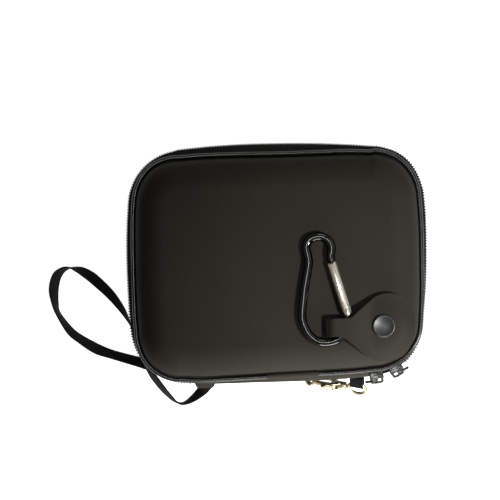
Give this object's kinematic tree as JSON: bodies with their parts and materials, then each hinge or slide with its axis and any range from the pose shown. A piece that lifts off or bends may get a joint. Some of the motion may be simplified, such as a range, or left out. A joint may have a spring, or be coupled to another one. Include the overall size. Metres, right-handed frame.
{
  "type": "zip-round hard case",
  "caption": "Small black moulded hard case that zips open round its rim, with a hinged lid, wrist strap, swivel trigger clasp and a carabiner held under a press-stud flap.",
  "frame": {"origin": "middle of the back shell's flat face, on the surface that the case lies on", "axes": "+X to the right of the front face, +Y to its top edge, away from the strap, +Z out of the front face"},
  "size_m": [0.2004, 0.1381, 0.0527],
  "materials": {
    "moulded": "matte black moulded foam sheet with a fine grain",
    "lining": "black brushed knit",
    "piping": "black gloss piping",
    "zip_tape": "black woven tape",
    "zip_coil": "black satin coil",
    "webbing": "black woven webbing",
    "leather": "black smooth leather",
    "dark_nickel": "polished dark nickel plate",
    "black_metal": "polished black anodised wire",
    "bright_metal": "bright steel tube",
    "pale_gold": "pale gold plate"
  },
  "bodies": {
    "base": {"back_shell": "moulded", "back_lining": "lining", "back_piping": "piping", "back_piping_sleeve": "moulded", "zip_tape_back": "zip_tape", "zip_coil_back": "zip_coil", "spine_strip": "moulded", "strap_tab": "moulded", "wrist_strap": "webbing", "clasp_tab": "webbing", "retaining_band": "webbing"},
    "lid": {"front_shell": "moulded", "front_lining": "lining", "front_piping": "piping", "front_piping_sleeve": "moulded", "zip_tape_front": "zip_tape", "zip_coil_front": "zip_coil", "mesh_pocket": "lining", "pocket_binding": "webbing", "snap_tail": "leather", "snap_stud": "dark_nickel", "snap_post": "dark_nickel"},
    "flap": {"snap_flap": "leather", "snap_cap": "dark_nickel", "snap_socket": "dark_nickel"},
    "carabiner": {"carabiner_frame": "black_metal", "gate_rivet": "dark_nickel"},
    "gate": {"carabiner_gate": "bright_metal"},
    "lower_slider": {"zip_slider_lower": "dark_nickel"},
    "lower_pull": {"zip_pull_lower": "dark_nickel"},
    "upper_slider": {"zip_slider_upper": "dark_nickel"},
    "upper_pull": {"zip_pull_upper": "dark_nickel"},
    "swivel_eye": {"clasp_eye": "pale_gold"},
    "hook": {"clasp_hook": "pale_gold", "clasp_lever_pin": "pale_gold"},
    "lever": {"clasp_lever": "pale_gold"}
  },
  "joints": [
    {"name": "lid_hinge", "type": "hinge", "parent": "base", "child": "lid", "pos_m": [0, -0.0627, 0.023], "axis": [1, 0, 0], "range_deg": [0, 110]},
    {"name": "flap_fold", "type": "hinge", "parent": "lid", "child": "flap", "pos_m": [0.0263, -0.034, 0.0477], "axis": [0, -1, 0], "range_deg": [0, 100]},
    {"name": "carabiner_swing", "type": "hinge", "parent": "lid", "child": "carabiner", "pos_m": [0.0356, -0.0347, 0.0493], "axis": [0.3206, 0.9472, 0], "range_deg": [0, 60]},
    {"name": "gate_swing", "type": "hinge", "parent": "carabiner", "child": "gate", "pos_m": [0.03757, -0.02639, 0.04927], "axis": [-0.0397, 0.0134, 0.9991], "range_deg": [0, 20], "stiffness_Nm_per_rad": 0.02, "springref_deg": -11.46},
    {"name": "lower_slider_travel", "type": "hinge", "parent": "base", "child": "lower_slider", "pos_m": [0.04837, -0.03248, 0.023], "axis": [0, 0, 1], "range_deg": [-2, 5]},
    {"name": "lower_pull_flip", "type": "hinge", "parent": "lower_slider", "child": "lower_pull", "pos_m": [0.05243, -0.06336, 0.023], "axis": [0, 0, 1], "range_deg": [0, 150]},
    {"name": "upper_slider_travel", "type": "hinge", "parent": "base", "child": "upper_slider", "pos_m": [0.04837, -0.03248, 0.023], "axis": [0, 0, 1], "range_deg": [-5, 45]},
    {"name": "upper_pull_flip", "type": "hinge", "parent": "upper_slider", "child": "upper_pull", "pos_m": [0.06371, -0.05959, 0.023], "axis": [0, 0, -1], "range_deg": [0, 150]},
    {"name": "clasp_swing", "type": "hinge", "parent": "base", "child": "swivel_eye", "pos_m": [0.04195, -0.06489, 0.01557], "axis": [-0.9518, 0.1904, -0.2405], "range_deg": [0, 40]},
    {"name": "clasp_swivel", "type": "hinge", "parent": "swivel_eye", "child": "hook", "pos_m": [0.042, -0.0676, 0.0132], "axis": [-0.9518, 0.1904, -0.2405], "continuous": true},
    {"name": "lever_press", "type": "hinge", "parent": "hook", "child": "lever", "pos_m": [0.02949, -0.06621, 0.01143], "axis": [0.0013, -0.7815, -0.6239], "range_deg": [0, 15], "stiffness_Nm_per_rad": 0.004, "springref_deg": -11.46}
  ]
}
